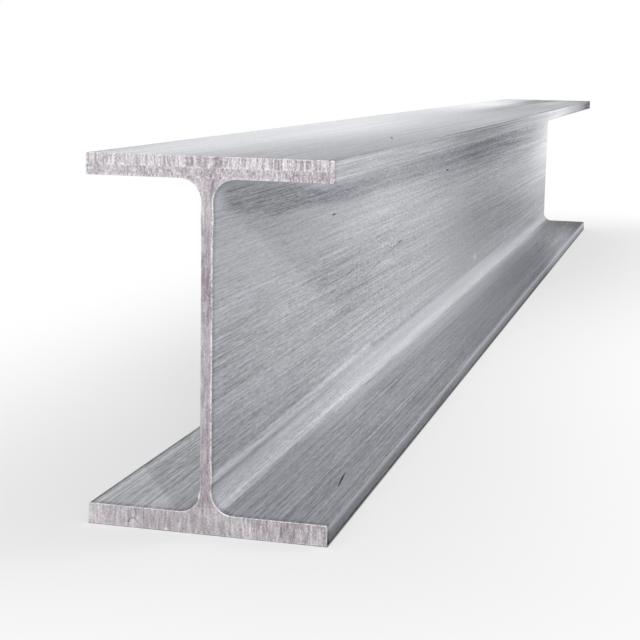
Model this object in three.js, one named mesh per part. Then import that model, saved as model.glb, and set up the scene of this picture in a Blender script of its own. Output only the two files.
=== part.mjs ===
// A length of hot-rolled wide-flange steel beam, sawn square at both ends and standing on its
// lower flange. Millimetres, +Z up. The beam runs along Y, its flanges spread along X, and the
// origin is the centre of the underside.
import * as THREE from 'three';

// The section. Its two flanges are alike and the web stands centred between them.
const SECTION_HEIGHT = 450; // outer face to outer face of the flanges
const FLANGE_WIDTH = 300;
const FLANGE_THICKNESS = 26;
const WEB_THICKNESS = 14;
const ROOT_RADIUS = 27; // hollow fillet where the web meets a flange
const TOE_RADIUS = 2; // rounded edges that the rolls leave along a flange's tips

// Between the two saw cuts.
const CUT_LENGTH = 3650;

// Straight facets in each rounded corner of the section.
const CORNER_FACETS = 12;

// The steel as it comes from the mill: bare, grey and faintly warm.
const steel = new THREE.MeshStandardMaterial({ color: 0xb6b4b1, roughness: 0.45, metalness: 0.85 });

// The corners of the section's right half as if they were sharp, from the underside to the top,
// each as a point and the radius that rounds it off or fills it in.
function rightHalfCorners() {
  const tip = FLANGE_WIDTH / 2;
  const webFace = WEB_THICKNESS / 2;
  const underTopFlange = SECTION_HEIGHT - FLANGE_THICKNESS;
  return [
    { point: new THREE.Vector2(tip, 0), radius: TOE_RADIUS },
    { point: new THREE.Vector2(tip, FLANGE_THICKNESS), radius: TOE_RADIUS },
    { point: new THREE.Vector2(webFace, FLANGE_THICKNESS), radius: ROOT_RADIUS },
    { point: new THREE.Vector2(webFace, underTopFlange), radius: ROOT_RADIUS },
    { point: new THREE.Vector2(tip, underTopFlange), radius: TOE_RADIUS },
    { point: new THREE.Vector2(tip, SECTION_HEIGHT), radius: TOE_RADIUS },
  ];
}

// The same corners on the other side of the web, in the order that carries the outline back down.
function leftHalfCorners() {
  return rightHalfCorners().reverse().map(({ point, radius }) => (
    { point: new THREE.Vector2(-point.x, point.y), radius }
  ));
}

// A closed outline through square corners, with a quarter circle at each one that touches both of
// its sides. A right turn is a hollow corner, so its arc runs clockwise.
function roundedOutline(corners) {
  const outline = new THREE.Shape();
  corners.forEach(({ point, radius }, index) => {
    const before = corners.at(index - 1).point;
    const after = corners[(index + 1) % corners.length].point;
    const arriving = point.clone().sub(before).normalize();
    const leaving = after.clone().sub(point).normalize();
    const centre = point.clone().addScaledVector(arriving, -radius).addScaledVector(leaving, radius);
    const start = Math.atan2(-leaving.y, -leaving.x);
    const end = Math.atan2(arriving.y, arriving.x);
    outline.absarc(centre.x, centre.y, radius, start, end, arriving.cross(leaving) < 0);
  });
  outline.closePath();
  return outline;
}

// The outline is drawn across X and up Y, and extruded towards +Z. A quarter turn about X stands it
// up and lays the length along -Y, so the beam is moved forward by half its length to centre it.
function beam() {
  const outline = roundedOutline([...rightHalfCorners(), ...leftHalfCorners()]);
  const geometry = new THREE.ExtrudeGeometry(outline, {
    depth: CUT_LENGTH,
    bevelEnabled: false,
    curveSegments: CORNER_FACETS / 2, // an arc is given two facets for each of these
  });
  const mesh = new THREE.Mesh(geometry, steel);
  mesh.name = 'i_beam';
  mesh.rotation.x = Math.PI / 2;
  mesh.position.y = CUT_LENGTH / 2;
  return mesh;
}

const model = new THREE.Group();
model.add(beam());

export default model;
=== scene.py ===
"""A steel I-beam: its rolled section, its sawn ends, its bare steel finish and a small studio.

Everything is in metres. The beam runs along Y, its flanges spread along X and it stands on Z = 0.
"""
import math
from itertools import compress

import bmesh
import bpy
from bpy.props import FloatProperty, FloatVectorProperty, IntProperty, PointerProperty
from bpy.types import Operator, Panel, PropertyGroup
from mathutils import Matrix, Vector, geometry, noise


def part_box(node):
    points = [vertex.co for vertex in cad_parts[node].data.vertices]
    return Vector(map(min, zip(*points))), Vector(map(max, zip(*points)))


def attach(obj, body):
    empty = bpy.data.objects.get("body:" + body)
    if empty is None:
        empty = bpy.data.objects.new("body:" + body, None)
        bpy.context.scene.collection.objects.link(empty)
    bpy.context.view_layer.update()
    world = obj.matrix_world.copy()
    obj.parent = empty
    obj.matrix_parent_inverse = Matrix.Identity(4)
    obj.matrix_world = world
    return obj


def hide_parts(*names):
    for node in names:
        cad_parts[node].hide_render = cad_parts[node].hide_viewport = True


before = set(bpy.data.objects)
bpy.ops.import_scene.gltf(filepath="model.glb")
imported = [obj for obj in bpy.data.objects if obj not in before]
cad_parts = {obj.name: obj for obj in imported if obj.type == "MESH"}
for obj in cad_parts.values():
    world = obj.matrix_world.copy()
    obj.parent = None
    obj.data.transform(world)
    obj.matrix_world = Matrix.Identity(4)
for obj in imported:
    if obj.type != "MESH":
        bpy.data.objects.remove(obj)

bl_info = {
    "name": "Steel I-Beam",
    "version": (1, 0, 0),
    "blender": (4, 5, 0),
    "location": "3D View > Sidebar > I-Beam",
    "description": "Rolls a steel I-beam, saws its ends and sets it in a small studio",
    "category": "Add Mesh",
}

NODE = "i_beam"
PIECE = "steel_i_beam"
BODY = "root"
MM = 0.001
DEPTH = "saw_depth"
ACROSS = "saw_across"
EDGE = "cut_edge"
SHARP = math.radians(28)

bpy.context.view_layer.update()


# ------------ the section, from the frame

def section_from_frame():
    """The beam's sizes, read back from the corner points of its solid in the frame.

    The lowest two levels of points on a flange tip end its flat, a toe radius from the flange's
    faces. The lowest point on the web's face is where the root fillet starts.
    """
    low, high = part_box(NODE)
    points = [vertex.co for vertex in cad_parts[NODE].data.vertices]
    near = 0.01 * MM
    web_face = min(abs(point.x) for point in points)
    tip_levels = sorted({round(point.z, 6) for point in points if high.x - point.x < near})
    web_foot = min(point.z for point in points if abs(point.x) - web_face < near)
    toe = tip_levels[0] - low.z
    flange = tip_levels[1] + toe - low.z
    return {
        "length": high.y - low.y,
        "width": high.x - low.x,
        "height": high.z - low.z,
        "web": 2 * web_face,
        "flange": flange,
        "toe": toe,
        "root": web_foot - flange - low.z,
    }


SECTION = section_from_frame()


# ------------ what a user may change

def length_property(name, description, default):
    """A size in metres, with a name and a note for the panel."""
    return FloatProperty(
        name=name, description=description, default=default, min=0.0, precision=5,
        subtype="DISTANCE", unit="LENGTH",
    )


def colour_property(name, description, default):
    """A linear colour for the panel."""
    return FloatVectorProperty(
        name=name, description=description, default=default, size=3, min=0.0, max=1.0,
        subtype="COLOR",
    )


def angle_property(name, description, degrees):
    """An angle for the panel."""
    return FloatProperty(
        name=name, description=description, default=math.radians(degrees), subtype="ANGLE",
        unit="ROTATION",
    )


class BeamSection(PropertyGroup):
    """The rolled section and the length that it is cut to."""
    height: length_property("Height", "From the underside to the top", SECTION["height"])
    width: length_property("Width", "Across a flange, tip to tip", SECTION["width"])
    flange: length_property("Flange", "Thickness of each flange", SECTION["flange"])
    web: length_property("Web", "Thickness of the web", SECTION["web"])
    root: length_property("Root radius", "Fillet between web and flange", SECTION["root"])
    toe: length_property("Toe radius", "Rounded edges of the flange tips", SECTION["toe"])
    length: length_property("Length", "Between the two saw cuts", SECTION["length"])


class RollingMarks(PropertyGroup):
    """The slight unevenness that the rolls leave along the beam."""
    ridge_height: length_property("Ridge height", "Low ridge on the web by each fillet", 0.7 * MM)
    ridge_inset: length_property("Ridge inset", "From the flange's outer face to it", 72.5 * MM)
    ridge_width: length_property("Ridge width", "Half width of the ridge's flank", 9 * MM)
    unevenness: length_property("Unevenness", "Depth of the long shallow hollows", 0.25 * MM)
    spacing: length_property("Mesh spacing", "Between lines of points across the section", 6 * MM)
    steps: IntProperty(name="Steps", description="Mesh steps along the beam", default=60, min=2)


class SawCut(PropertyGroup):
    """The marks that the saw leaves on a cut end."""
    pitch: length_property("Pitch", "Between one saw mark and the next", 4.6 * MM)
    depth: length_property("Depth", "Depth of the deepest saw marks", 0.45 * MM)
    edge: length_property("Edge", "Width of the dressed edge round a cut", 0.8 * MM)
    nick: length_property("Nick", "Depth of a nick in the edge", 1.6 * MM)
    burr: length_property("Burr", "How far the burr sticks out of the edge", 1.5 * MM)
    across: length_property("Mesh across", "Mesh spacing across the saw marks", 1.05 * MM)
    along: length_property("Mesh along", "Mesh spacing along the saw marks", 2.1 * MM)
    seed: IntProperty(name="Seed", description="Changes the marks of both ends", default=7)


class SteelFinish(PropertyGroup):
    """Colours of the rolled skin and of the sawn steel."""
    skin: colour_property("Skin", "Rolled and brushed steel", (0.425, 0.428, 0.446))
    grain: FloatProperty(
        name="Grain", description="Contrast of the brushed grain", default=1.0, min=0.0, max=3.0,
    )
    # the tint is blended in most where the skin is painted darker, as the colour of painted shadow
    # and shade
    tint: colour_property("Tint", "Bluish tint by the upper fillet", (0.36, 0.375, 0.45))
    cut: colour_property("Cut", "Bright ridges of the sawn steel", (0.88, 0.85, 0.87))
    cut_dark: colour_property("Cut hollow", "Hollows between the saw's ridges", (0.27, 0.225, 0.26))
    edge: colour_property("Edge", "Bright metal on the dressed edges", (0.92, 0.89, 0.905))
    scratch: colour_property("Scratch", "Bottom of a scratch or pit", (0.02, 0.02, 0.024))


class Studio(PropertyGroup):
    """Where the camera stands and how the studio is lit."""
    eye: FloatVectorProperty(
        name="Eye", description="Where the camera stands", size=3, subtype="TRANSLATION",
        unit="LENGTH", default=(0.5482, -3.4099, 0.5541), precision=4,
    )
    turn: angle_property("Turn", "Camera turned left of the beam's length", 14.56)
    dip: angle_property("Dip", "Camera turned down from level", 9.88)
    roll: angle_property("Roll", "Camera turned about its own line of sight", 1.09)
    lens: FloatProperty(
        name="Lens", description="Focal length on a 36 mm wide sensor", default=82.1, min=1.0,
        subtype="DISTANCE_CAMERA", unit="CAMERA",
    )
    floor: colour_property("Floor", "Colour of the floor", (0.86, 0.86, 0.87))
    daylight: FloatProperty(
        name="Daylight", description="Strength of the even light all round", default=0.6, min=0.0,
    )


# ------------ node trees written as Python

class Value:
    """A number in a node tree. Python's operators add Math nodes to the tree."""

    def __init__(self, tree, socket):
        self.tree = tree
        self.socket = socket

    def maths(self, operation, *others, clamp=False):
        settings = {"operation": operation, "use_clamp": clamp}
        return self.tree.add("ShaderNodeMath", settings, dict(enumerate((self, *others))))

    def __add__(self, other):
        return self.maths("ADD", other)

    def __sub__(self, other):
        return self.maths("SUBTRACT", other)

    def __rsub__(self, other):
        return self.tree.number(other).maths("SUBTRACT", self)

    def __mul__(self, other):
        return self.maths("MULTIPLY", other)

    def __truediv__(self, other):
        return self.maths("DIVIDE", other)

    def __neg__(self):
        return self.maths("MULTIPLY", -1.0)

    __radd__ = __add__
    __rmul__ = __mul__

    def size(self):
        return self.maths("ABSOLUTE")

    def clamped(self):
        return self.maths("ADD", 0.0, clamp=True)

    def below(self, limit):
        return self.maths("LESS_THAN", limit)

    def step(self, start, end):
        """0 up to start and 1 past end, with a smooth rise between them."""
        settings = {"interpolation_type": "SMOOTHSTEP"}
        sockets = {"Value": self, "From Min": start, "From Max": end}
        return self.tree.add("ShaderNodeMapRange", settings, sockets)

    def hump(self, centre, width):
        """A smooth hump, 1 at centre and next to nothing three widths away."""
        offset = (self - centre) / width
        return self.tree.number(math.e).maths("POWER", offset * offset * -0.5)


class Tree:
    """A node tree, with one method that adds any node."""

    def __init__(self, group):
        self.nodes, self.links = group.nodes, group.links

    def add(self, kind, settings=None, sockets=None, output=0):
        """Adds a node, makes its settings, fills its sockets and returns one of its outputs."""
        node = self.nodes.new(kind)
        for name, setting in (settings or {}).items():
            setattr(node, name, setting)
        for name, value in (sockets or {}).items():
            self.fill(node.inputs[name], value)
        return Value(self, node.outputs[output])

    def fill(self, socket, value):
        if isinstance(value, Value):
            self.links.new(value.socket, socket)
        else:
            socket.default_value = value

    def number(self, value):
        """A plain number as a Value, for the left side of an expression."""
        if isinstance(value, Value):
            return value
        return self.add("ShaderNodeMath", {"operation": "ADD"}, {0: float(value), 1: 0.0})

    def vector(self, x=0.0, y=0.0, z=0.0):
        return self.add("ShaderNodeCombineXYZ", None, {"X": x, "Y": y, "Z": z})

    def parts(self, vector):
        """The x, y and z of a vector."""
        node = self.add("ShaderNodeSeparateXYZ", None, {"Vector": vector}).socket.node
        return [Value(self, socket) for socket in node.outputs]

    def vector_maths(self, operation, *values, output=0):
        """A Vector Math node. Output 1 is for the operations that give a number."""
        settings = {"operation": operation}
        return self.add("ShaderNodeVectorMath", settings, dict(enumerate(values)), output)

    def noise(self, x, y, z, detail=1.0):
        """Noise from 0 to 1, with about one wave to each unit."""
        sockets = {"Vector": self.vector(x, y, z), "Scale": 1.0, "Detail": detail}
        return self.add("ShaderNodeTexNoise", None, sockets)

    def blend(self, factor, *colours):
        """A colour between two, each of them a Value or a colour of three parts."""
        first, second = (each if isinstance(each, Value) else (*each, 1.0) for each in colours)
        settings = {"data_type": "RGBA"}
        return self.add("ShaderNodeMix", settings, {0: factor, 6: first, 7: second}, output=2)

    def finish(self, result, kind="ShaderNodeOutputMaterial"):
        """Joins a result to the tree's output."""
        self.fill(self.nodes.new(kind).inputs[0], result)


def new_object(name, data):
    """An object with this name and data, linked to the scene."""
    made = bpy.data.objects.new(name, data)
    bpy.context.scene.collection.objects.link(made)
    return made


# ------------ rolling the section

INPUTS = (
    ("Height", "height"), ("Width", "width"), ("Flange", "flange"), ("Web", "web"),
    ("Root Radius", "root"), ("Toe Radius", "toe"), ("Length", "length"),
)
MARK_INPUTS = (
    ("Ridge Height", "ridge_height"), ("Ridge Inset", "ridge_inset"),
    ("Ridge Width", "ridge_width"), ("Unevenness", "unevenness"), ("Mesh Spacing", "spacing"),
)
CORNERS = 12
POINTS_PER_CORNER = 8


def pick(tree, index, values):
    """The value at this index of a short list."""
    node = tree.nodes.new("GeometryNodeIndexSwitch")
    node.data_type = "FLOAT"
    while len(node.index_switch_items) < len(values):
        node.index_switch_items.new()
    tree.fill(node.inputs["Index"], index)
    for place, value in enumerate(values):
        tree.fill(node.inputs[place + 1], value)
    return Value(tree, node.outputs[0])


def section_curve(tree, size):
    """The section's outline as one closed curve in the XY plane, upside down, with its fillets.

    The corners run up the right side and down the left one.
    """
    index = tree.add("GeometryNodeInputIndex")
    on_left = 1 - index.below(CORNERS // 2)
    side = 1 - on_left * 2
    place = index + on_left * (CORNERS - 1 - index * 2)
    tip = size["Width"] / 2
    web_face = size["Web"] / 2
    under_top = size["Height"] - size["Flange"]
    x = pick(tree, place, [tip, tip, web_face, web_face, tip, tip]) * side
    flange = size["Flange"]
    z = pick(tree, place, [0.0, flange, flange, under_top, under_top, size["Height"]])
    toe, root = size["Toe Radius"], size["Root Radius"]
    radius = pick(tree, place, [toe, toe, root, root, toe, toe])
    ring = tree.add("GeometryNodeCurvePrimitiveCircle", {"mode": "RADIUS"}, {"Resolution": CORNERS})
    sharp = tree.add(
        "GeometryNodeSetPosition", None, {"Geometry": ring, "Position": tree.vector(x, -z)}
    )
    rounded = tree.add(
        "GeometryNodeFilletCurve", {"mode": "POLY"},
        {"Curve": sharp, "Count": POINTS_PER_CORNER, "Radius": radius, "Limit Radius": True},
    )
    position = tree.add("GeometryNodeInputPosition")
    following = tree.add("GeometryNodeOffsetPointInCurve", None, {"Offset": 1}, output=1)
    next_position = tree.add(
        "GeometryNodeFieldAtIndex", {"data_type": "FLOAT_VECTOR"},
        {"Index": following, "Value": position},
    )
    stretch = tree.vector_maths("DISTANCE", position, next_position, output=1)
    cuts = (stretch / size["Mesh Spacing"]).maths("FLOOR")
    return tree.add("GeometryNodeSubdivideCurve", None, {"Curve": rounded, "Cuts": cuts})


def roll(tree, size, outline):
    """The outline carried along the beam's length as an open tube."""
    half = size["Length"] / 2
    line = tree.add(
        "GeometryNodeCurvePrimitiveLine", {"mode": "POINTS"},
        {"Start": tree.vector(0, -half), "End": tree.vector(0, half)},
    )
    path = tree.add(
        "GeometryNodeResampleCurve", {"mode": "COUNT"}, {"Curve": line, "Count": size["Steps"]}
    )
    tube = tree.add("GeometryNodeCurveToMesh", None, {"Curve": path, "Profile Curve": outline})
    return tree.add("GeometryNodeFlipFaces", None, {"Mesh": tube})


def mark(tree, size, tube):
    """Low ridges on the web by each fillet, and long shallow hollows everywhere but underneath.

    The hollows only go inwards, and the underside stays flat because the beam stands on it.
    """
    x, y, z = tree.parts(tree.add("GeometryNodeInputPosition"))
    normal = tree.add("GeometryNodeInputNormal")
    on_web = x.size().below(size["Web"] / 2 + size["Root Radius"] * 0.2)
    outer = size["Height"] / 2 - (z - size["Height"] / 2).size()
    ridge = outer.hump(size["Ridge Inset"], size["Ridge Width"]) * on_web
    hollow = tree.noise(x * 9, y * 1.6, z * 9, detail=3.0)
    rise = ridge * size["Ridge Height"] - hollow * size["Unevenness"] * z.step(0.0, size["Flange"])
    offset = tree.add("ShaderNodeVectorMath", {"operation": "SCALE"}, {0: normal, "Scale": rise})
    return tree.add("GeometryNodeSetPosition", None, {"Geometry": tube, "Offset": offset})


def rolling_tree():
    """The Geometry Nodes tree that rolls the section, with an input for each size."""
    group = bpy.data.node_groups.new("Rolled section", "GeometryNodeTree")
    face = group.interface
    face.new_socket("Geometry", in_out="OUTPUT", socket_type="NodeSocketGeometry")
    for name, _ in (*INPUTS, *MARK_INPUTS):
        face.new_socket(name, in_out="INPUT", socket_type="NodeSocketFloat").subtype = "DISTANCE"
    face.new_socket("Steps", in_out="INPUT", socket_type="NodeSocketInt")
    face.new_socket("Finish", in_out="INPUT", socket_type="NodeSocketMaterial")
    tree = Tree(group)
    given = group.nodes.new("NodeGroupInput")
    size = {socket.name: Value(tree, socket) for socket in given.outputs if socket.name}
    beam = mark(tree, size, roll(tree, size, section_curve(tree, size)))
    smooth = tree.add("GeometryNodeSetShadeSmooth", None, {"Geometry": beam, "Shade Smooth": True})
    real = tree.add("GeometryNodeRealizeInstances", None, {"Geometry": smooth})
    covered = tree.add(
        "GeometryNodeSetMaterial", None, {"Geometry": real, "Material": size["Finish"]}
    )
    tree.finish(covered, "NodeGroupOutput")
    return group


def run_tree(name, group, values):
    """Runs a Geometry Nodes tree and keeps what it makes as a plain mesh object."""
    carrier = new_object("carrier", bpy.data.meshes.new("carrier"))
    modifier = carrier.modifiers.new("Nodes", "NODES")
    modifier.node_group = group
    identifiers = {
        item.name: item.identifier for item in group.interface.items_tree
        if item.item_type == "SOCKET" and item.in_out == "INPUT"
    }
    for label, value in values.items():
        modifier[identifiers[label]] = value
    bpy.context.view_layer.update()
    evaluated = carrier.evaluated_get(bpy.context.evaluated_depsgraph_get())
    mesh = bpy.data.meshes.new_from_object(evaluated)
    mesh.name = name
    bpy.data.objects.remove(carrier)
    return new_object(name, mesh)


# ------------ sawing the ends

def rim_of(bm, y):
    """The points of the tube's open edge nearest to this y, in order."""
    open_edges = [edge for edge in bm.edges if edge.is_boundary]
    first = min(open_edges, key=lambda edge: abs(edge.verts[0].co.y - y)).verts[0]
    rim, previous, current = [], None, first
    while not rim or current is not first:
        rim.append(current)
        ahead = [
            edge.other_vert(current) for edge in current.link_edges
            if edge.is_boundary and edge.other_vert(current) is not previous
        ]
        previous, current = current, ahead[0]
    return rim


def inward(rim, place):
    """The direction into the section at one point of its anticlockwise rim."""
    before, after = rim[place - 1].co, rim[(place + 1) % len(rim)].co
    run = (after.x - before.x, after.z - before.z)
    return Vector((-run[1], 0, run[0])).normalized()


def turned(ring):
    """The same ring of points, one place further round."""
    return ring[1:] + ring[:1]


def area_of(rim):
    """The area inside a rim, above 0 if it runs anticlockwise seen with X right and Z up."""
    return sum(a.co.x * b.co.z - b.co.x * a.co.z for a, b in zip(rim, turned(rim))) / 2


def from_outside(section, z):
    """How far in a height is from the nearer of the beam's top and underside."""
    return section.height / 2 - abs(z - section.height / 2)


def ripple(x, z, seed):
    """A smooth wander between about -1 and 1 over a plane, the same for the same seed."""
    return noise.noise(Vector((x, z, seed * 3.7)))


# places across and up where the edge of a cut is nicked, and how far each nick reaches along it
NICKS = (
    (-0.007, 0.3560, 0.0035), (-0.007, 0.3105, 0.0030), (-0.0504, 0.0, 0.0040),
    (0.150, 0.446, 0.0080), (-0.150, 0.449, 0.0030),
)

# the same for the burr that the saw left by the web's foot
BURR = (-0.0075, 0.0478, 0.0060)

# how steeply the dressed edge falls away, and how far the sawn face's points keep from it, in
# mesh spacings
EDGE_SLOPE = 0.7
CLEARANCE = 0.45


class EndFace:
    """One sawn end: where it lies, which way it faces and how deep its marks are."""

    def __init__(self, section, cut, sign):
        self.section = section
        self.cut = cut
        self.sign = sign
        self.seed = cut.seed + (11 if sign > 0 else 0)
        self.y = sign * section.length / 2

    def fan(self, x, z):
        """The place across the upright marks, which spread where the web meets a flange."""
        section = self.section
        reach = section.flange + section.root
        spread = max(0.0, 1 - from_outside(section, z) / reach)
        near_web = math.exp(-(x / (1.3 * section.root)) ** 2)
        return x / (1 + 1.1 * spread * near_web)

    def depth(self, x, z):
        """How far below the cut's plane the steel is at this point, from 0 to 1.

        The saw went through the top flange in two passes, so its marks change half way down.
        """
        section, cut = self.section, self.cut
        across = self.fan(x, z) / cut.pitch
        upper_pass = z > section.height - section.flange * 0.5
        seed = self.seed + 5 * upper_pass
        bend = 0.25 * ripple(x * 30, z * 22, seed + 1)
        marks = ripple(across * 1.5 + bend, z * (24 if upper_pass else 60), seed)
        fine = ripple(across * 2.9, z * 170, seed + 2)
        patches = ripple(x * 28, z * 40, seed + 3)
        strength = (1.3 if upper_pass else 0.9) * (0.8 + 0.5 * patches)
        return min(1.0, max(0.0, 0.45 + strength * (0.6 * marks + 0.4 * fine)))

    def edge_width(self, x, z):
        """How far the dressed edge comes in from the rim here. Below 0, it is a burr."""
        section, cut = self.section, self.cut
        width = cut.edge * (1 + 0.7 * ripple(x * 160, z * 160, self.seed + 4))
        off_flange = from_outside(section, z) > section.flange + 0.8 * section.root
        if off_flange and abs(x) < 0.6 * section.web:
            width *= 1.9 if x > 0 else 0.45
        for nick_x, nick_z, reach in NICKS:
            away = min(1.0, math.hypot(x - nick_x, z - nick_z) / reach)
            width += (cut.nick - cut.edge) * (1 - away * away)
        burr_x, burr_z, reach = BURR
        away = min(1.0, math.hypot(x - burr_x, z - burr_z) / reach)
        return width - (cut.burr + width) * (1 - away ** 4)


def grid_inside(section, cut):
    """Points over the section's bounding box, every other column shifted by half a step."""
    columns = int(section.width / cut.across)
    rows = int(section.height / cut.along)
    for column in range(columns + 1):
        x = -section.width / 2 + column * cut.across
        shift = 0.5 * (column % 2)
        for row in range(rows + 1):
            yield x, (row + shift) * cut.along


def in_section(section, x, z, margin):
    """Whether a point lies inside the section, at least this margin away from its outline."""
    x = abs(x)
    outer = from_outside(section, z)
    if outer < margin or x > section.width / 2 - margin:
        return False
    if outer < section.flange - margin or x < section.web / 2 - margin:
        return True
    root_x = section.web / 2 + section.root
    root_z = section.flange + section.root
    if x > root_x or outer > root_z:
        return False
    return math.hypot(root_x - x, root_z - outer) > section.root + margin


def saw(bm, end):
    """Closes one end of the tube with a dressed edge and a sawn face. Returns the new faces."""
    section, cut, sign = end.section, end.cut, end.sign
    rim = rim_of(bm, end.y)
    if area_of(rim) < 0:
        rim.reverse()
    widths = [end.edge_width(vertex.co.x, vertex.co.z) for vertex in rim]
    inner = []
    for place, width in enumerate(widths):
        at = rim[place].co + inward(rim, place) * width
        inner.append(bm.verts.new((at.x, end.y, at.z)))
    for vertex, width in zip(rim, widths):
        vertex.co.y = end.y - sign * abs(width) * EDGE_SLOPE
    made = [bm.faces.new(four) for four in zip(rim, turned(rim), turned(inner), inner)]
    outline = [Vector((vertex.co.x, vertex.co.z)) for vertex in inner]
    margin = cut.edge + CLEARANCE * cut.across
    filling = [
        Vector((x, z)) for x, z in grid_inside(section, cut) if in_section(section, x, z, margin)
    ]
    spots, _, triangles, sources, _, insides = geometry.delaunay_2d_cdt(
        outline + filling, [], [list(range(len(outline)))], 0, 0.001 * MM, True
    )
    point_at = {}
    for triangle in compress(triangles, insides):
        for number in triangle:
            if number in point_at:
                continue
            on_rim = [inner[place] for place in sources[number] if place < len(inner)]
            x, z = spots[number]
            sunk = sign * cut.depth * end.depth(x, z)
            point_at[number] = on_rim[0] if on_rim else bm.verts.new((x, end.y - sunk, z))
        made.append(bm.faces.new([point_at[number] for number in triangle]))
    return made


# ------------ finishes

METALLIC = 0.85
RELIEF = 0.3 * MM


def new_material(name):
    """An empty material: itself, its tree and where its points are on the beam."""
    material = bpy.data.materials.new(name)
    material.use_nodes = True
    material.node_tree.nodes.clear()
    tree = Tree(material.node_tree)
    place = tree.add("ShaderNodeTexCoord", output="Object")
    return material, tree, place


def bare_steel(tree, colour, roughness, height, relief):
    """Finishes a material as bare steel, with a bump of this height and strength."""
    bump = tree.add(
        "ShaderNodeBump", None, {"Strength": relief, "Distance": RELIEF, "Height": height}
    )
    tree.finish(tree.add("ShaderNodeBsdfPrincipled", None, {
        "Base Color": colour, "Metallic": METALLIC, "Roughness": roughness, "Normal": bump,
    }))


def stroke(tree, place, start, end, width):
    """1 along a short straight stroke between two points and 0 beyond its width."""
    start, end = Vector(start), Vector(end)
    run = end - start
    from_start = tree.vector_maths("SUBTRACT", place, start)
    share = run / run.length_squared
    along = tree.vector_maths("DOT_PRODUCT", from_start, share, output=1).clamped()
    nearest = tree.vector_maths("MULTIPLY_ADD", tree.vector(along, along, along), run, start)
    away = tree.vector_maths("DISTANCE", place, nearest, output=1)
    taper = 1 - (along - 0.5).size() * 1.3
    return 1 - (away / (taper * width)).step(0.35, 1.0)


class Faces:
    """Where a point of the skin is, and masks that are 1 on one face of the beam and 0 off it."""

    def __init__(self, tree, place, section):
        self.section = section
        self.x, self.y, self.z = x, y, z = tree.parts(place)
        self.aside = aside = x.size()
        half_width = section.width / 2
        self.left = x.below(0.0)
        self.low_half = z.below(section.height / 2)
        self.near = 1 - y.step(-1.5, -1.1)
        self.web = aside.below(section.web / 2 + section.root * 0.3)
        self.fillet = aside.below(section.web / 2 + section.root * 1.3) * z.below(0.0685)
        self.top = 1 - z.below(section.height - 1.5 * MM)
        self.lower = z.below(section.flange + section.root * 0.2)
        self.tip = aside.step(half_width - 2.0 * MM, half_width - 0.8 * MM)
        self.upper_tip = (1 - z.below(section.height - section.flange)) * (1 - self.top) * self.tip


def layer(tree, x, along, z, fineness, detail=1.0):
    """Noise about 0, with this many cells a metre across the beam, and along it as given."""
    return tree.noise(x * fineness, along, z * fineness, detail) - 0.5


def brushed_grain(tree, face):
    """Scratch-brushed grain along the beam: hair-fine lines, specks, long streaks and slow bands.

    The web is brushed in shorter strokes than the flanges, and the grain is coarser further along.
    Returns how light the grain is, its height for the bump, and its long streaks alone.
    """
    x, y, z, web = face.x, face.y, face.z, face.web
    drift = layer(tree, x, y, z, 4) * 0.002
    slant = web * 0.0055 + (1 - web) * face.low_half * 0.010
    u = x - y * slant + drift
    v = z + y * web * 0.004 + drift
    hair = layer(tree, u, y * 1.3, v, 640)
    crossing = layer(tree, u + y * 0.004, y * (9 + web * 9) + 5, v - y * 0.003, 560)
    speck = layer(tree, x, y * 60, z, 600)
    dash = layer(tree, x, y * (20 + web * 50), z, 330)
    streak = layer(tree, u, y * 0.45, v, 260, detail=2.0)
    band = layer(tree, u, y * 0.4, v, 42, detail=2.0)
    cloud = layer(tree, x, y * 3, z, 7, detail=3.0)
    coarse = y.step(-1.5, -0.7) * (1 - z.below(0.053) * 0.75)
    on_flange = (
        hair * (0.85 + coarse * 0.3) + crossing * (0.6 - coarse * 0.2) + speck * 0.65
        + streak * (0.40 + coarse * 0.75) + dash * y.step(0.2, 1.1) * 0.5
    )
    on_web = (
        hair * (0.90 - coarse * 0.15) + crossing * (0.68 - coarse * 0.53) + speck * 0.75
        + streak * (0.40 + coarse * 0.85) + dash * coarse * 1.05
    )
    shade = on_flange + (on_web - on_flange) * web + band * 0.22 + cloud * 0.12
    height = hair * 0.8 + crossing * 0.4 + speck * 0.25 + streak * (0.5 + coarse * 0.8)
    return shade, height, streak
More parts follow.
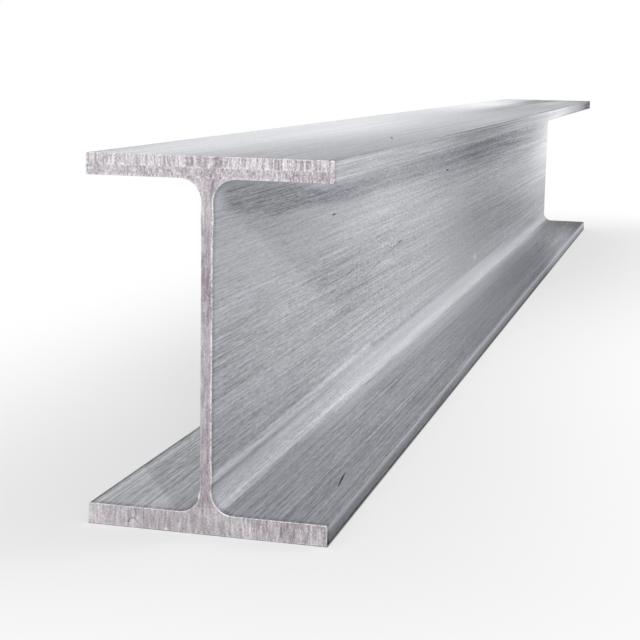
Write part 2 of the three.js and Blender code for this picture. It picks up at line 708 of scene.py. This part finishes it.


# soft patches, partly the skin's own tone and partly painted highlights, reflections and shade:
# centre and spread along the beam, centre and spread across the face (up the web, or from the
# middle of a flange), and how much lighter
WEB_PATCHES = (
    (1.95, 0.34, 0.32, 0.11, 0.9), (0.3, 0.46, 0.358, 0.034, -0.46), (0.3, 0.38, 0.22, 0.07, -0.36),
    (0.9, 0.35, 0.14, 0.035, -0.3), (-0.5, 0.5, 0.11, 0.03, 0.12), (-0.8, 0.25, 0.31, 0.02, 0.17),
    (-1.8, 0.15, 0.16, 0.09, -0.1), (-1.45, 0.08, 0.24, 0.05, 0.08),
    (-0.55, 0.45, 0.17, 0.07, 0.08), (-1.32, 0.2, 0.069, 0.007, 0.13),
    (0.2, 0.7, 0.3695, 0.003, -0.22), (0.2, 0.7, 0.35, 0.0026, -0.2),
    (-1.75, 0.2, 0.1, 0.022, -0.06), (-1.05, 0.3, 0.096, 0.012, 0.09), (0.5, 0.8, 0.2, 0.02, -0.08),
    (1.45, 0.3, 0.12, 0.02, -0.13), (1.8, 0.35, 0.34, 0.09, 0.1), (-0.9, 0.22, 0.325, 0.016, 0.08),
    (0.05, 0.3, 0.32, 0.02, -0.08), (-0.05, 0.25, 0.357, 0.012, -0.1),
    (-0.8, 0.3, 0.381, 0.006, 0.08), (-1.78, 0.14, 0.082, 0.004, -0.13),
    (0.205, 0.02, 0.0885, 0.0045, 0.45), (0.9, 0.42, 0.095, 0.0045, 0.16),
    (1.55, 0.35, 0.22, 0.09, 0.08), (1.4, 0.35, 0.28, 0.02, 0.05), (-0.95, 0.15, 0.19, 0.02, 0.07),
    (-1.46, 0.12, 0.0838, 0.0035, -0.29), (0.2, 0.3, 0.125, 0.015, -0.07),
    (0.9, 0.5, 0.062, 0.006, 0.08), (0.3, 1.2, 0.381, 0.006, 0.08),
    (-1.22, 0.1, 0.0605, 0.005, -0.14), (-1.5, 0.13, 0.055, 0.003, 0.12),
    (-1.05, 0.2, 0.27, 0.018, 0.09), (0.6, 0.25, 0.335, 0.008, -0.09),
    (-1.1, 0.5, 0.32, 0.009, 0.07),
)
TOP_PATCHES = (
    (-1.9, 0.55, 0.1, 0.1, -0.34), (0.0, 2.0, 0.13, 0.06, -0.15), (-1.9, 0.3, 0.15, 0.03, -0.22),
    (-1.7, 0.35, 0.045, 0.05, -0.18), (0.8, 0.25, 0.09, 0.06, -0.12),
    (0.95, 0.55, -0.095, 0.065, 0.6), (1.6, 0.25, -0.01, 0.035, -0.55),
    (0.85, 0.35, 0.005, 0.025, -0.2), (-0.2, 0.9, -0.085, 0.035, 0.08),
    (1.5, 0.42, 0.005, 0.03, -0.42), (1.9, 0.26, 0.14, 0.05, -0.5), (-0.7, 0.4, -0.015, 0.04, 0.16),
    (-1.85, 0.3, -0.15, 0.02, -0.35), (-0.7, 0.8, 0.145, 0.01, -0.14), (1.3, 0.6, -0.14, 0.02, 0.2),
    (0.7, 0.6, 0.149, 0.0022, -0.35), (0.38, 0.22, 0.035, 0.035, -0.24),
    (1.0, 0.2, -0.065, 0.03, 0.18), (1.1, 0.6, -0.14, 0.018, 0.13), (1.35, 0.15, 0.06, 0.025, 0.22),
    (0.65, 0.25, 0.139, 0.005, 0.22), (1.82, 0.1, 0.142, 0.012, -0.3),
    (-1.82, 0.07, 0.0, 0.05, -0.15),
)
LOWER_PATCHES = (
    (1.9, 0.3, 0.11, 0.08, -0.7), (0.4, 0.5, 0.142, 0.008, -0.2), (0.7, 0.38, 0.1, 0.05, -0.2),
    (1.85, 0.25, 0.06, 0.05, -0.28), (-0.2, 0.6, 0.038, 0.008, 0.22),
    (-1.7, 0.2, -0.15, 0.004, -0.6), (-1.15, 0.25, 0.105, 0.014, 0.12),
    (-1.1, 0.2, 0.045, 0.01, -0.1), (-0.9, 0.4, 0.092, 0.022, 0.14), (1.3, 0.35, 0.085, 0.03, -0.3),
    (0.35, 0.9, 0.05, 0.01, 0.16), (1.6, 0.22, 0.038, 0.014, -0.12),
    (1.0, 0.22, 0.148, 0.006, 0.38), (1.7, 0.3, 0.136, 0.022, -0.46),
    (0.6, 0.3, 0.118, 0.02, -0.13), (1.4, 0.18, 0.105, 0.016, 0.1), (1.3, 0.4, 0.05, 0.006, 0.15),
    (1.3, 0.3, 0.118, 0.014, 0.12), (1.22, 0.12, 0.114, 0.006, 0.22),
    (0.1, 0.25, 0.045, 0.008, 0.07), (-1.48, 0.14, 0.04, 0.0025, -0.16),
    (1.6, 0.09, 0.105, 0.022, 0.13), (-1.55, 0.25, 0.095, 0.008, 0.09),
    (-1.45, 0.2, 0.125, 0.015, 0.08), (-0.6, 0.75, 0.1465, 0.005, -0.16),
)

# soft patches of lighter or darker sawn steel on a cut end: centre and spread across, centre and
# spread up, and how much lighter
CUT_PATCHES = (
    (0.006, 0.007, 0.44, 0.02, -0.2), (0.12, 0.02, 0.437, 0.02, -0.13),
    (-0.112, 0.014, 0.437, 0.012, 0.09), (0.106, 0.014, 0.016, 0.014, -0.16),
    (0.03, 0.014, 0.017, 0.012, 0.15), (-0.134, 0.018, 0.012, 0.012, 0.16),
    (0.0, 0.02, 0.24, 0.014, 0.1), (0.0, 0.02, 0.385, 0.022, 0.1),
    (0.046, 0.012, 0.01, 0.008, 0.12), (-0.085, 0.012, 0.008, 0.006, 0.12),
    (0.146, 0.006, 0.44, 0.008, -0.16), (0.1, 0.05, 0.004, 0.009, 0.14),
    (-0.122, 0.02, 0.006, 0.009, 0.1), (0.084, 0.008, 0.01, 0.01, 0.14),
    (0.133, 0.01, 0.009, 0.01, 0.1), (0.0, 0.02, 0.3, 0.03, -0.08),
)

# painted glints on the dressed edge, given the same way
EDGE_GLINTS = (
    (-0.0088, 0.0011, 0.0478, 0.0035, 1.3), (-0.05, 0.0016, 0.0018, 0.0016, 1.2),
)

# the painted shadow on the web below the upper flange, and the painted shadow line that it runs out
# in: start, end, width
FLANGE_SHADOW = ((0.007, -1.86, 0.404), (0.007, -1.30, 0.362), 0.036)
FLANGE_SHADOW_TRAIL = ((0.007, -1.55, 0.369), (0.007, -0.55, 0.345), 0.024)

# scratches and pits, the first on the lower flange, the second on the top and the rest on the web:
# start, end, width and how dark
SCRATCHES = (
    ((0.1222, -1.661, 0.026), (0.1151, -1.597, 0.026), 2.5 * MM, 1.0),
    ((0.1025, -1.290, 0.450), (0.0865, -1.225, 0.450), 2.2 * MM, 1.0),
    ((0.007, -1.262, 0.331), (0.007, -1.243, 0.3305), 2.0 * MM, 1.0),
    ((0.007, -0.256, 0.335), (0.007, -0.228, 0.3345), 3.2 * MM, 1.0),
    ((0.007, -0.765, 0.2325), (0.007, -0.715, 0.2322), 1.6 * MM, 1.0),
    ((0.007, -1.270, 0.209), (0.007, -1.035, 0.241), 1.8 * MM, 0.30),
    ((0.007, -1.050, 0.202), (0.007, -0.845, 0.225), 2.0 * MM, 0.38),
    ((0.007, -0.860, 0.224), (0.007, -0.720, 0.233), 2.0 * MM, 0.28),
)

# the arch that the blade scored at the foot of the near end: centre across and up, radius, width
ARCH = (-0.092, 0.0056, 6.2 * MM, 0.65 * MM)


def patches(tree, along, across, marks):
    """How much lighter a face is for all its soft patches."""
    face = tree.vector(along, across)
    total = 0.0
    for middle, length, centre, width, amount in marks:
        stretch = (1 / length, 1 / width, 0.0)
        shift = (-middle / length, -centre / width, 0.0)
        offset = tree.vector_maths("MULTIPLY_ADD", face, stretch, shift)
        squared = tree.vector_maths("DOT_PRODUCT", offset, offset, output=1)
        hump = tree.add("ShaderNodeMath", {"operation": "POWER"}, {0: math.exp(-0.5), 1: squared})
        total = hump.maths("MULTIPLY_ADD", amount, total)
    return total


def web_tone(tree, face):
    """How light the web is: its patches, painted highlights on the low ridge by the lower fillet
    and on the web below the upper fillet, and a painted shade line under the ridge at the near end.
    """
    y, z = face.y, face.z
    ridge_place = y.step(-1.62, -1.42) * 0.0075 + 0.069
    ridge_light = 0.30 - y.hump(-1.5, 0.09) * 0.19 + y.hump(-1.2, 0.08) * 0.12
    return (
        z.hump(0.0775, 0.005) * 0.06 - z.hump(0.0600, 0.0035) * face.near * 0.22
        + z.hump(0.395, 0.009) * 0.05 + patches(tree, y, z, WEB_PATCHES)
        + (z - ridge_place).hump(0.0, 0.0040) * (1 - y.step(-1.0, -0.96)) * ridge_light
        + z.hump(0.0655, 0.0035) * (1 - y.step(-1.42, -1.28)) * 0.20
    )


def fillet_tone(face):
    """How light the lower fillets are: a painted highlight along them, with finer painted highlight
    and shade lines at the near end.
    """
    y, z, aside = face.y, face.z, face.aside
    middle = (1 - face.near) * (1 - y.step(0.3, 1.0) * 0.40 - y.step(1.2, 1.9) * 0.35)
    fine_lines = (
        z.hump(0.050, 0.005) * 0.30 - z.hump(0.037, 0.009) * 0.22
        + aside.hump(0.035, 0.004) * 0.18 - aside.hump(0.024, 0.004) * 0.10
    )
    return (
        z.hump(0.056, 0.0085) * middle * 0.50 + aside.hump(0.031, 0.006) * middle * 0.22
        + fine_lines * face.near
    )


def upper_tip_tone(face):
    """How light the side of the upper flange is: a painted reflection, bright a little past the
    middle, darker about halfway to the near end and at the far end.
    """
    y = face.y
    from_top = face.section.height - face.z
    return (
        y.hump(0.68, 0.30) * 0.73 - y.hump(-0.72, 0.46) * (0.78 - from_top * 10)
        - y.hump(1.9, 0.29) * 0.62
    )


def lower_tip_tone(face):
    """How light the side of the lower flange is: painted shade, darkest at the foot and along the
    top toe, with a painted highlight line just below the toe and lighter towards the far end.
    """
    y, z = face.y, face.z
    return (
        y.step(0.5, 0.9) * 0.40 - 0.34 - (1 - z / face.section.flange) * 0.12
        - z.hump(0.0, 1.8 * MM) * 0.5 + z.hump(0.0218, 0.0026) * 0.26
        - (1 - z.step(0.011, 0.020)) * 0.17 - z.hump(0.0265, 0.0014) * 0.45
    )


def lower_flange_tone(tree, face):
    """How light the lower flange's upper face is: painted shade on the left, deepest past a
    slanting edge where the web's painted shadow falls.
    """
    x, y = face.x, face.y
    past_edge = ((x + 0.1357) * 0.838 + (y + 1.6686) * 0.546).step(-4 * MM, 4 * MM) * face.left
    return patches(tree, y, x, LOWER_PATCHES) - face.left * 0.34 - past_edge * 0.16


def flange_shadow_on(tree, place, face):
    """1 in the painted shadow on the web below the upper flange, and less in the painted shadow
    line it runs out in.
    """
    trail = stroke(tree, place, *FLANGE_SHADOW_TRAIL) * (1 - face.y.step(-1.3, -0.7)) * 0.8
    return stroke(tree, place, *FLANGE_SHADOW).maths("MAXIMUM", trail) * face.y.step(-1.805, -1.76)


def cast_shadow_on(face):
    """A faint painted shadow on the web, cast by the upper flange's near end: it starts at a
    slanting edge and fades further along.
    """
    past_edge = face.y + face.z * 2.618 + 0.750
    return past_edge.step(-0.04, 0.03) * (1 - past_edge.step(0.03, 0.48)) * face.web * (
        face.z.step(0.13, 0.21) * (1 - face.z.step(0.34, 0.40))
    )


def rolled_tone(tree, face, flange_shadow):
    """How much lighter each place is than the plain skin. Below 0, it is darker. Much of it is
    painted light: highlights, reflections, shade and shadows.
    """
    by_cut = face.y.size().hump(face.section.length / 2 - 5 * MM, 4 * MM) * (1 - face.top)
    return (
        face.web * web_tone(tree, face) + face.fillet * fillet_tone(face)
        + face.upper_tip * upper_tip_tone(face) + face.lower * face.tip * lower_tip_tone(face)
        + face.top * patches(tree, face.y, face.x, TOP_PATCHES)
        + face.lower * (1 - face.tip) * (1 - face.web) * lower_flange_tone(tree, face)
        # painted shadows: below the upper flange and cast by its near end; then a darker line by
        # each cut
        - flange_shadow * 0.33 - cast_shadow_on(face) * 0.15 - by_cut * 0.25
    )


def blue_tint(face, flange_shadow, tone):
    """How bluish the skin is, from 0 to 1: most where it is painted darker, in the painted shadow
    below the upper flange and in the painted shade by the upper fillet.
    """
    y, z = face.y, face.z
    return (
        flange_shadow * y.hump(-1.22, 0.14) * 0.6 + y.hump(0.3, 0.5) * z.hump(0.36, 0.025) * 0.70
        + 0.17 + y.step(0.0, 1.3) * 0.12 - tone * 0.45
    ).clamped()


def tip_dullness(face):
    """How much rougher the flange tips are: the lower one at its foot, the upper at the far end."""
    foot = 1 - face.z.step(0.0, 0.012) + face.z.hump(0.0265, 0.0014) * 0.3
    return face.tip * (face.lower * foot + face.upper_tip * face.y.step(1.3, 1.8)) * 0.5


def grain_strength(face, flange_shadow):
    """How strong the brushed grain is in each place."""
    y = face.y
    lower = (
        0.35 + y.step(-1.8, -1.4) * 0.20 - y.step(-1.0, -0.1) * 0.75 + y.step(0.5, 1.0) * 0.20
        - face.left * (0.50 - y.hump(-0.75, 0.5)) - face.tip * 0.75
    )
    high = face.z.step(0.20, 0.34)
    web = y.hump(-1.25, 0.27) * 0.35 - y.hump(0.0, 0.48) * 0.38
    high_web = y.step(-1.1, -0.5) * 0.38 - 0.36 + y.hump(0.9, 0.35) * 0.5
    return (
        (1 - face.top * 0.25) * (1 + face.lower * lower) * (1 - face.fillet * 0.35)
        * (1 + face.web * ((1 - high * 0.5) * web + high * high_web)) * (1 + flange_shadow * 0.5)
    )


def skin_material(finish, section):
    """Rolled steel brushed along its length, with its marks and with lighter and darker patches
    that are partly the skin's own tone and partly painted highlights, reflections, shade and
    shadows.
    """
    material, tree, place = new_material("rolled_steel_skin")
    face = Faces(tree, place, section)
    shade, height, streak = brushed_grain(tree, face)
    # painted shadow on the web below the upper flange, also used for its bluish tint and stronger
    # grain
    flange_shadow = flange_shadow_on(tree, place, face)
    tone = rolled_tone(tree, face, flange_shadow)
    grain = shade * grain_strength(face, flange_shadow) * finish.grain
    lightness = (1 + grain + tone).maths("MAXIMUM", 0.05)
    hue = tree.blend(blue_tint(face, flange_shadow, tone), finish.skin, finish.tint)
    toned = tree.add("ShaderNodeVectorMath", {"operation": "SCALE"}, {0: hue, "Scale": lightness})
    scratched = tree.number(0.0)
    for start, end, width, dark in SCRATCHES:
        scratched = scratched.maths("MAXIMUM", stroke(tree, place, start, end, width) * dark)
    colour = tree.blend(scratched * 0.9, toned, finish.scratch)
    roughness = 0.48 + streak * 0.25 + scratched * 0.2 + tip_dullness(face)
    bare_steel(tree, colour, roughness, height - scratched * 3.0, relief=0.6)
    return material


def arch_on(x, y, z):
    """1 along the small arch that the blade scored at the foot of the near end, and 0 off it."""
    centre_x, centre_z, radius, width = ARCH
    reach = ((x - centre_x) * (x - centre_x) + (z - centre_z) * (z - centre_z)).maths("SQRT")
    return reach.hump(radius, width) * y.below(0.0) * (1 - z.below(centre_z))


def cut_material(finish, section):
    """Sawn steel: bright ticks and warm dark hollows in upright rows, with bright edges.

    The marks differ between the saw's two passes through the top flange, the web and the foot.
    """
    material, tree, place = new_material("sawn_steel")
    x, y, z = tree.parts(place)
    deep, across, rim = (
        tree.add("ShaderNodeAttribute", {"attribute_name": name}, None, output="Fac")
        for name in (DEPTH, ACROSS, EDGE)
    )
    under_top = section.height - section.flange
    between_passes = section.height - section.flange * 0.5
    first_pass = 1 - z.below(between_passes)
    second_pass = 1 - z.below(under_top) - first_pass
    foot = z.below(section.flange)
    foot_right = foot * x.step(0.0, 0.03)
    in_web = z.step(section.flange, section.flange + section.root) * (
        1 - z.step(under_top - section.root, under_top)
    )
    run = z * (45 + second_pass * 65 - first_pass * 23)
    tick = tree.noise(across * 310, first_pass * 7, run) - 0.5
    fleck = tree.noise(across * 560, 3.0, z * 330) - 0.5
    blotch = tree.noise(across * 70, 7.0, z * 60, detail=2.0) - 0.5
    zones = (
        first_pass * 0.14 + second_pass * 0.03 + foot * 0.03 - foot_right * 0.08
        - z.hump(0.30, 0.035) * 0.08 - z.hump(0.08, 0.03) * 0.06
        + z.hump(between_passes, 1 * MM) * 0.10
    )
    marks = (
        0.42 + tick * (0.85 + first_pass * 0.8 + foot * 0.15 + foot_right * 0.25)
        + fleck * (0.85 + (first_pass + second_pass) * 0.45 + foot_right * 0.15)
        + blotch * 0.6 - (deep - 0.45) * 0.25
    )
    light = marks * (1 - in_web * 0.22) + zones + patches(tree, x, z, CUT_PATCHES)
    light = (light - arch_on(x, y, z) * 0.45).clamped()
    sawn = tree.blend(light, finish.cut_dark, finish.cut)
    bright = (rim + fleck * 1.6 + tick).step(0.7, 1.3)
    # the dressed edges are bright metal; on the web the right edge is painted brighter as a
    # highlight and the left edge is left dark as painted shade; painted glints are added
    web_left_shade = x.below(-0.4 * section.web) * in_web
    web_right_highlight = (1 - x.below(0.3 * section.web)) * in_web
    edging = bright * (0.46 - web_left_shade * 0.46 + web_right_highlight * 0.28) + patches(tree, x, z, EDGE_GLINTS)
    colour = tree.blend(edging.clamped(), sawn, finish.edge)
    bare_steel(tree, colour, 0.55 - bright * 0.1, tick + fleck, relief=0.5)
    return material


# ------------ operators

def saw_ends(beam, section, cut):
    """Closes both ends of the tube, and notes on each point how it lies in the saw marks."""
    bm = bmesh.new()
    bm.from_mesh(beam.data)
    depth, across, edge = (bm.verts.layers.float.new(name) for name in (DEPTH, ACROSS, EDGE))
    for sign in (-1, 1):
        end = EndFace(section, cut, sign)
        for face in saw(bm, end):
            face.material_index = 1
            face.smooth = True
            for vertex in face.verts:
                vertex[across] = end.fan(vertex.co.x, vertex.co.z) + sign * section.width
                vertex[depth] = (section.length / 2 - abs(vertex.co.y)) / cut.depth
            if len(face.verts) == 4:
                for vertex in face.verts:
                    vertex[edge] = 1.0
                    vertex[depth] = 0.0
    bmesh.ops.recalc_face_normals(bm, faces=bm.faces)
    bm.to_mesh(beam.data)
    bm.free()
    beam.data.set_sharp_from_angle(angle=SHARP)


class IBEAM_OT_make_beam(Operator):
    """Roll the section along the beam's length, saw both ends and put the beam in its place"""
    bl_idname = "ibeam.make_beam"
    bl_label = "Make Beam"

    def execute(self, context):
        scene = context.scene
        section = scene.ibeam_section
        values = {label: getattr(section, name) for label, name in INPUTS}
        values |= {label: getattr(scene.ibeam_marks, name) for label, name in MARK_INPUTS}
        values["Steps"] = scene.ibeam_marks.steps
        values["Finish"] = skin_material(scene.ibeam_finish, section)
        beam = run_tree(PIECE, rolling_tree(), values)
        beam.data.materials.append(cut_material(scene.ibeam_finish, section))
        saw_ends(beam, section, scene.ibeam_cut)
        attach(beam, BODY)
        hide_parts(NODE)
        return {"FINISHED"}


# name, place, aimed at, size across and up, brightness where 1 is a white wall
SOFTBOXES = (
    ("front", (0.9, -4.4, 1.75), (0.0, -1.2, 0.25), (0.7, 0.7), 20.0),
    ("right", (1.3, -0.5, 1.1), (0.0, -0.7, 0.25), (1.0, 0.8), 4.4),
    ("right_back", (1.6, 3.6, 1.2), (0.0, 0.6, 0.25), (1.6, 1.2), 0.8),
    ("high_right_back", (1.8, 3.6, 2.6), (0.0, 0.6, 0.25), (1.6, 1.6), 1.3),
    ("left", (-1.0, 1.5, 1.0), (-0.1, 1.3, 0.45), (2.4, 0.7), 1.8),
)


def softbox(name, place, aim, size, brightness):
    """A soft rectangular lamp that the camera doesn't see."""
    lamp = bpy.data.lights.new(name, "AREA")
    lamp.shape = "RECTANGLE"
    lamp.size, lamp.size_y = size
    lamp.energy = brightness * math.pi * size[0] * size[1]
    holder = new_object(name, lamp)
    holder.location = place
    holder.rotation_euler = (Vector(aim) - Vector(place)).to_track_quat("-Z", "Y").to_euler()
    holder.visible_camera = False


def background_rays(tree):
    """1 for rays from the camera, and 1 for those that glossy and clear surfaces send out."""
    camera, glossy, clear = (
        tree.add("ShaderNodeLightPath", output=f"Is {kind} Ray")
        for kind in ("Camera", "Glossy", "Transmission")
    )
    return camera, glossy.maths("MAXIMUM", clear)


def build_world(studio):
    world = bpy.data.worlds.new("studio_light")
    world.use_nodes = True
    world.node_tree.nodes.clear()
    tree = Tree(world.node_tree)
    camera, glossy = background_rays(tree)
    strength = studio.daylight + camera.maths("MAXIMUM", glossy) * (1.0 - studio.daylight)
    light = tree.add("ShaderNodeBackground", None, {"Color": (1, 1, 1, 1), "Strength": strength})
    tree.finish(light, "ShaderNodeOutputWorld")
    bpy.context.scene.world = world


FLOOR_RADIUS = 60.0
FLOOR_FADE = 0.75
# width of the painted contact shadow on the floor along the beam's foot
CONTACT_LINE = 1.8 * MM


def build_floor(studio, section):
    """A wide pale disc. Near the beam it takes its shadow, along the beam's foot its colour is
    painted darker as a painted contact shadow, and further out it fades to white.
    """
    bm = bmesh.new()
    bmesh.ops.create_circle(bm, cap_ends=True, radius=FLOOR_RADIUS, segments=64)
    mesh = bpy.data.meshes.new("floor")
    bm.to_mesh(mesh)
    bm.free()
    floor = new_object("floor", mesh)
    material, tree, place = new_material("floor_paint")
    x, y, _ = tree.parts(place)
    beside = (x.size() - section.width / 2).maths("MAXIMUM", 0.0)
    beyond = (y.size() - section.length / 2).maths("MAXIMUM", 0.0)
    away = (beside * beside + beyond * beyond).maths("SQRT")
    # a painted contact shadow: darker paint and no white backdrop in a thin line along the beam's
    # foot
    clear = (beside + beyond * 4).step(0.0, CONTACT_LINE)
    paint = tree.blend(clear, [0.4 * part for part in studio.floor], studio.floor)
    lit = tree.add(
        "ShaderNodeBsdfPrincipled", None,
        {"Base Color": paint, "Roughness": 1.0, "Specular IOR Level": 0.0},
    )
    white = tree.add("ShaderNodeEmission", None, {"Color": (1, 1, 1, 1), "Strength": 1.0})
    camera, glossy = background_rays(tree)
    fade = away.step(0.0, FLOOR_FADE) * 0.6
    share = (camera * clear * (fade * 0.83 + 0.5)).maths(
        "MAXIMUM", glossy * (fade + away.step(0.0, 0.05) * 0.4)
    )
    tree.finish(tree.add("ShaderNodeMixShader", None, {0: share, 1: lit, 2: white}))
    floor.data.materials.append(material)


def build_camera(studio):
    camera = bpy.data.cameras.new("camera")
    camera.lens = studio.lens
    camera.sensor_width = 36.0
    camera.clip_start, camera.clip_end = 0.05, 200.0
    holder = new_object("camera", camera)
    holder.matrix_world = (
        Matrix.Translation(studio.eye)
        @ Matrix.Rotation(studio.turn, 4, "Z")
        @ Matrix.Rotation(math.pi / 2 - studio.dip, 4, "X")
        @ Matrix.Rotation(studio.roll, 4, "Z")
    )
    bpy.context.scene.camera = holder


class IBEAM_OT_set_studio(Operator):
    """Set the camera, the floor and the lamps"""
    bl_idname = "ibeam.set_studio"
    bl_label = "Set Studio"

    def execute(self, context):
        studio = context.scene.ibeam_studio
        build_camera(studio)
        build_world(studio)
        build_floor(studio, context.scene.ibeam_section)
        for settings in SOFTBOXES:
            softbox(*settings)
        context.scene.view_settings.view_transform = "Standard"
        return {"FINISHED"}


# ------------ panel and registration

class IBEAM_PT_panel(Panel):
    """The beam's settings and steps"""
    bl_label = "Steel I-Beam"
    bl_idname = "IBEAM_PT_panel"
    bl_space_type = "VIEW_3D"
    bl_region_type = "UI"
    bl_category = "I-Beam"

    def draw(self, context):
        layout = self.layout
        for holder, group, title in SETTINGS:
            box = layout.box()
            box.label(text=title)
            for name in group.__annotations__:
                box.prop(getattr(context.scene, holder), name)
        for step in STEPS:
            layout.operator(step.bl_idname)


SETTINGS = (
    ("ibeam_section", BeamSection, "Section"),
    ("ibeam_marks", RollingMarks, "Rolling marks"),
    ("ibeam_cut", SawCut, "Saw cut"),
    ("ibeam_finish", SteelFinish, "Finish"),
    ("ibeam_studio", Studio, "Studio"),
)
STEPS = (IBEAM_OT_set_studio, IBEAM_OT_make_beam)
CLASSES = (*(group for _, group, _ in SETTINGS), *STEPS, IBEAM_PT_panel)


def register():
    for each in CLASSES:
        bpy.utils.register_class(each)
    for holder, group, _ in SETTINGS:
        setattr(bpy.types.Scene, holder, PointerProperty(type=group))


def unregister():
    for holder, _, _ in SETTINGS:
        delattr(bpy.types.Scene, holder)
    for each in reversed(CLASSES):
        bpy.utils.unregister_class(each)


def main():
    register()
    bpy.ops.ibeam.set_studio()
    bpy.ops.ibeam.make_beam()


if __name__ == "__main__":
    main()
